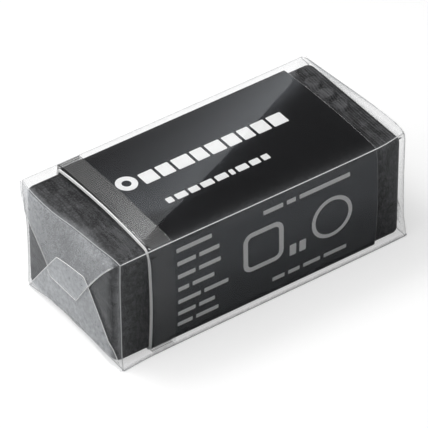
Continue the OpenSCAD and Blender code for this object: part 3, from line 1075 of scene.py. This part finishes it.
def makePressedEdge(name, side, inner, outer):
    # the ridge that the inner flap's free edge raises in the outer flap laid over it, drawn flat as a white
    # line: a painted highlight
    settings = flapSettings["pressed"]
    bm = flapOutline(side, inner)
    creased = bm.verts.layers.float.new("creased")
    rim = set(insetBorder(bm, bm.faces, settings["border"]))
    loose = []
    for face in bm.faces:
        y, z = face.calc_center_median().xy
        t = (outer["tipZ"] + outer["tilt"] * y - z) / outer["tipZ"]
        back, near = flapEdges(outer, max(t, 0))
        if face not in rim or t < settings["inside"] or not near < y < back:
            loose.append(face)
    bmesh.ops.delete(bm, geom=loose, context="FACES")
    for v in bm.verts:
        v[creased] = settings["whiteness"]
    layOnEnd(bm, name, side, settings["lift"])


for endName, endSide in (("left", -1), ("right", 1)):
    for flapName in ("top", "bottom"):
        makeFlap(endName + flapName.capitalize() + "Flap", endSide, flapSettings[flapName])
    makePressedEdge(endName + "PressedEdge", endSide, flapSettings["top"], flapSettings["bottom"])
print("flaps made")


# lap seam along the back
seamSettings = {
    "left": -17.1,
    "right": 17.2,
    "low": 3.6,
    "high": 8.6,
    "border": 0.3,
    "lift": 0.04,
    "hazeAndPaintedLight": 0.03,
    "edge": 0.5,
    "cells": (60, 8),
}


def makeSeam(settings):
    # the film's outer lap, sealed down along the back
    bm = bmesh.new()
    columns, rows = settings["cells"]
    bmesh.ops.create_grid(bm, x_segments=columns, y_segments=rows, size=0.5)
    for v in bm.verts:
        v.co.x = settings["left"] + (v.co.x + 0.5) * (settings["right"] - settings["left"])
        v.co.y = settings["low"] + (v.co.y + 0.5) * (settings["high"] - settings["low"])
    creased = bm.verts.layers.float.new("creased")
    hazeAndPaintedLightLayer = bm.verts.layers.float.new("hazeAndPaintedLight")
    insetBorder(bm, bm.faces, settings["border"])
    outward = Vector((0, 1, 0))
    for v in bm.verts:
        v[hazeAndPaintedLightLayer] = settings["hazeAndPaintedLight"]
        v[creased] = settings["edge"] if v.is_boundary else 0
        start = Vector((v.co.x, farOut, v.co.y)) * mm
        hit = filmTree.ray_cast(start, -outward)[0]
        v.co = Vector((v.co.x, hit.y / mm + settings["lift"], v.co.y))
    finishSheet(bm, "lapSeam", filmShade, outward)


makeSeam(seamSettings)
print("lap seam made")


# tear tape
tapeSettings = {
    "left": -13.35, "right": -10.75, "thickness": 0.03, "cuts": 15,
    # how far inside the film it lies, past which Y at its sides, above which Z and below which Z
    "inset": 0.07, "sideY": 8, "topZ": 12.9, "lowZ": 0.1,
    "mesh": 0.23, "squeeze": 0.84, "dark": (0.012, 0.012, 0.012), "pale": (0.31, 0.31, 0.31),
    "roughness": 0.08, "ior": 1.9, "gloss": 1.0,
    # the plain edge's X and fade, and how much it and the mesh cover
    "plainEdge": -13.12, "plainFade": 0.08, "plainCover": 0.5, "meshCover": (0.15, 0.5),
    # it covers less along the bottom, and less on the front wall, where it reads darker over the black card:
    # painted shade
    "frontFace": -8.1, "frontFade": 0.1, "frontCover": 0.22, "underZ": (0.4, 0.8), "underCover": 0.6,
}


def tapeMaterial(settings):
    # thin grey tape, see-through, with a fine square mesh and a plain dark edge
    shade = Shade("meshTape")
    apart = shade.node("SeparateXYZ", {"Vector": shade.place})
    pitch = 2 * math.pi / (settings["mesh"] * mm)
    along = shade.math("SINE", shade.times(apart.outputs[0], pitch))
    turned = shade.plus(apart.outputs[1], apart.outputs[2])
    across = shade.math("SINE", shade.times(turned, pitch * settings["squeeze"]))
    mesh = shade.ramp(shade.plus(along, across), -0.9, 1.1)
    edge, face = settings["plainEdge"], settings["frontFace"]
    meshed = shade.ramp(apart.outputs[0], (edge - settings["plainFade"]) * mm, edge * mm)
    mesh = shade.times(mesh, meshed)
    front = shade.ramp(
        apart.outputs[1], (face - settings["frontFade"]) * mm, face * mm, settings["frontCover"], 1.0)
    low, high = settings["underZ"]
    under = shade.ramp(apart.outputs[2], low * mm, high * mm, settings["underCover"], 1.0)
    between, strands = settings["meshCover"]
    plain = shade.ramp(meshed, 0.0, 1.0, settings["plainCover"], between)
    cover = shade.plus(plain, shade.times(mesh, strands))
    # less cover on the front wall: painted shade
    cover = shade.times(cover, shade.times(front, under))
    skin = shade.node("BsdfPrincipled", {
        "Base Color": shade.mixColour(mesh, settings["dark"], settings["pale"]),
        "Roughness": settings["roughness"],
        "IOR": settings["ior"],
        "Specular IOR Level": settings["gloss"],
        "Alpha": cover,
    })
    return shade.surface(skin.outputs[0])


def makeTape(settings):
    # a band that follows the film's inside all round
    bm = bmesh.new()
    bmesh.ops.create_cube(bm, size=2)
    ends = [f for f in bm.faces if abs(f.normal.x) > 0.5]
    bmesh.ops.delete(bm, geom=ends, context="FACES_ONLY")
    bmesh.ops.subdivide_edges(bm, edges=bm.edges, cuts=settings["cuts"], use_grid_fill=True)
    (left, right), (leftShare, rightShare) = sleeveEnds, filmSettings["sleeveAt"]
    for v in bm.verts:
        x = settings["left"] + (v.co.x + 1) / 2 * (settings["right"] - settings["left"])
        u = leftShare + (x - left) / (right - left) * (rightShare - leftShare)
        v.co = filmPlace(u, crowd(v.co.y), crowd(v.co.z))
        if abs(v.co.y) > settings["sideY"]:
            v.co.y -= math.copysign(settings["inset"], v.co.y)
        if v.co.z > settings["topZ"]:
            v.co.z -= settings["inset"]
        elif v.co.z < settings["lowZ"]:
            v.co.z += settings["inset"]
    tape = finishMesh("tearTape", bm, [tapeMaterial(settings)], sharpAngle=60)
    addWall(tape, settings["thickness"])
    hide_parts("tear_tape")
    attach(tape, "root")


makeTape(tapeSettings)
print("tape made")
